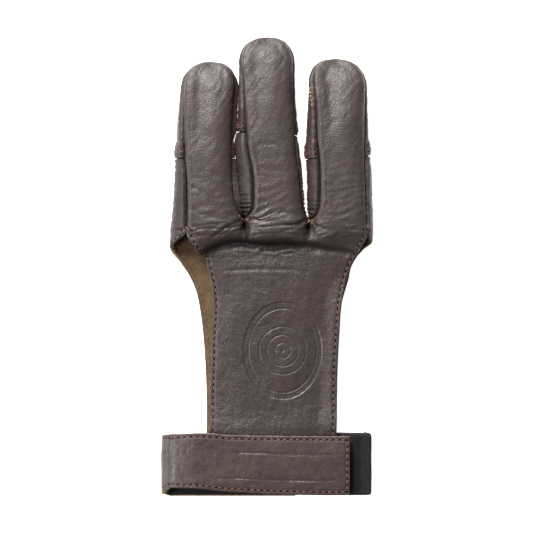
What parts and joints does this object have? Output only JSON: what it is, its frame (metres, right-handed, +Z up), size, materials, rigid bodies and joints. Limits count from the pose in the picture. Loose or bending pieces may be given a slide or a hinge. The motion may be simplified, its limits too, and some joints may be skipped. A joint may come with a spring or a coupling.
{
  "type": "three-finger archery glove",
  "caption": "Leather archery shooting glove lying flat: finger stalls with reinforced tips, open palm, long tongue and a strap and elastic wrist loop.",
  "frame": {"origin": "on the surface that the glove lies on, under the middle of its outline", "axes": "+Y towards the finger tips, +X towards the ring finger, +Z up out of the back of the hand"},
  "size_m": [0.0954, 0.2054, 0.0163],
  "materials": {
    "back_leather": "dark grey-brown full grain leather, soft satin",
    "palm_leather": "dark grey-brown grain leather with an olive tan suede flesh side",
    "cap_leather": "dark grey-brown grain leather, firm, soft satin",
    "strap_leather": "dark grey-brown grain leather with a raw tan edge",
    "hook_fabric": "black hook-and-loop fabric",
    "elastic_fabric": "black woven elastic, fine ribs"
  },
  "bodies": {
    "root": {"back_panel": "back_leather", "palm_panel": "palm_leather", "index_tip": "cap_leather", "middle_tip": "cap_leather", "ring_tip": "cap_leather", "wrist_strap": "strap_leather", "strap_lining": "hook_fabric", "wrist_elastic": "elastic_fabric"}
  },
  "joints": []
}
